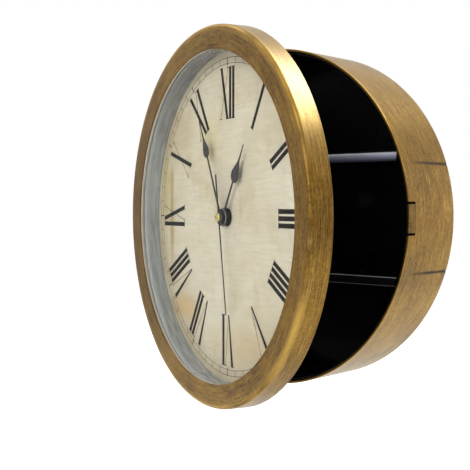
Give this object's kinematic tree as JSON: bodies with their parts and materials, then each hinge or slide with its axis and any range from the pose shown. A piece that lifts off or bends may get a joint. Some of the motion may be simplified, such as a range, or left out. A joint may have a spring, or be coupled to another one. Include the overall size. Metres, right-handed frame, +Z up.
{
  "type": "clock diversion safe",
  "caption": "Round wall clock with a hinged front that opens on a shallow round safe with two shelves, a roman dial and a battery movement.",
  "frame": {"origin": "middle of the case's flat back face, which lies on the wall", "axes": "+Z up, +X to the right as seen from the front, +Y into the wall; the door is on the -Y side and stands 17 degrees ajar at rest"},
  "size_m": [0.2476, 0.1414, 0.254],
  "materials": {
    "antique_gold": "moulded, antique gold, brushed round the rim with brown streaks",
    "black_plastic": "moulded, fine satin",
    "gloss_black": "glossy",
    "hinge_steel": "black painted",
    "screw_steel": "zinc plated",
    "clear_glass": "clear, polished",
    "pale_grey": "satin",
    "dial_paper": "matt, aged parchment print",
    "movement_plastic": "fine texture",
    "white_plastic": "moulded acetal",
    "brass": "polished",
    "circuit_green": "lacquered",
    "stator_iron": "soft iron sheet",
    "coil_copper": "enamelled copper winding",
    "cell_sleeve": "plain printed sleeve",
    "contact_nickel": "nickel plated",
    "hand_black": "satin black enamel on thin sheet"
  },
  "bodies": {
    "case": {"case_shell": "antique_gold", "case_liner": "black_plastic", "upper_shelf": "gloss_black", "lower_shelf": "gloss_black", "case_hinge_leaf": "hinge_steel", "hinge_pin": "hinge_steel", "case_hinge_screw_1": "screw_steel", "case_hinge_screw_2": "screw_steel", "liner_screw_1": "screw_steel", "liner_screw_2": "screw_steel", "liner_screw_3": "screw_steel", "liner_screw_4": "screw_steel"},
    "latch": {"latch_tongue": "antique_gold"},
    "door": {"bezel_ring": "antique_gold", "front_glass": "clear_glass", "spacer_ring": "pale_grey", "dial_plate": "dial_paper", "rear_cover": "black_plastic", "door_hinge_leaf": "hinge_steel", "door_hinge_screw_1": "screw_steel", "door_hinge_screw_2": "screw_steel", "movement_case": "movement_plastic", "movement_cover": "movement_plastic", "middle_plate": "white_plastic", "dial_washer": "hinge_steel", "movement_nut": "hinge_steel", "circuit_board": "circuit_green", "quartz_crystal": "screw_steel", "stator": "stator_iron", "coil": "coil_copper", "battery": "cell_sleeve", "contact_positive": "contact_nickel", "contact_negative": "contact_nickel", "rear_cover_screw_1": "screw_steel", "rear_cover_screw_2": "screw_steel", "rear_cover_screw_3": "screw_steel", "rear_cover_screw_4": "screw_steel", "rear_cover_screw_5": "screw_steel", "rear_cover_screw_6": "screw_steel"},
    "rotor_arbor": {"rotor": "white_plastic"},
    "intermediate_arbor": {"intermediate_wheel": "white_plastic"},
    "seconds_arbor": {"seconds_wheel": "white_plastic", "second_hand": "hand_black", "second_hand_cap": "brass"},
    "third_arbor": {"third_wheel": "white_plastic"},
    "minute_arbor": {"minute_wheel": "white_plastic", "minute_hand": "hand_black"},
    "motion_arbor": {"motion_wheel": "white_plastic", "setting_knob": "white_plastic"},
    "hour_arbor": {"hour_wheel": "white_plastic", "hour_hand": "hand_black"}
  },
  "joints": [
    {"name": "door_swing", "type": "hinge", "parent": "case", "child": "door", "pos_m": [-0.1205, -0.0496, 0], "axis": [0, 0, -1], "range_deg": [-17, 93]},
    {"name": "latch_flex", "type": "hinge", "parent": "case", "child": "latch", "pos_m": [0.11465, -0.04665, 0], "axis": [0, 0, 1], "range_deg": [0, 8], "stiffness_Nm_per_rad": 0.5},
    {"name": "seconds_turn", "type": "hinge", "parent": "door", "child": "seconds_arbor", "pos_m": [-0.00673, -0.08961, 0], "axis": [0.2924, 0.9563, 0], "continuous": true},
    {"name": "intermediate_turn", "type": "hinge", "parent": "door", "child": "intermediate_arbor", "pos_m": [0.00125, -0.09205, 0.00224], "axis": [0.2924, 0.9563, 0], "continuous": true},
    {"name": "rotor_turn", "type": "hinge", "parent": "door", "child": "rotor_arbor", "pos_m": [0.00647, -0.09365, 0.00539], "axis": [0.2924, 0.9563, 0], "continuous": true},
    {"name": "third_turn", "type": "hinge", "parent": "door", "child": "third_arbor", "pos_m": [-0.01707, -0.08645, 0.0029], "axis": [0.2924, 0.9563, 0], "continuous": true},
    {"name": "minute_turn", "type": "hinge", "parent": "door", "child": "minute_arbor", "pos_m": [-0.00673, -0.08961, 0], "axis": [0.2924, 0.9563, 0], "continuous": true},
    {"name": "motion_turn", "type": "hinge", "parent": "door", "child": "motion_arbor", "pos_m": [-0.00673, -0.08961, 0.012], "axis": [0.2924, 0.9563, 0], "continuous": true},
    {"name": "hour_turn", "type": "hinge", "parent": "door", "child": "hour_arbor", "pos_m": [-0.00673, -0.08961, 0], "axis": [0.2924, 0.9563, 0], "continuous": true}
  ],
  "couplings": [
    {"joint": "intermediate_turn", "follows": "seconds_turn", "ratio": -5},
    {"joint": "rotor_turn", "follows": "seconds_turn", "ratio": 30},
    {"joint": "third_turn", "follows": "seconds_turn", "ratio": -0.13333},
    {"joint": "minute_turn", "follows": "seconds_turn", "ratio": 0.016667},
    {"joint": "motion_turn", "follows": "seconds_turn", "ratio": -0.0055556},
    {"joint": "hour_turn", "follows": "seconds_turn", "ratio": 0.0013889}
  ]
}
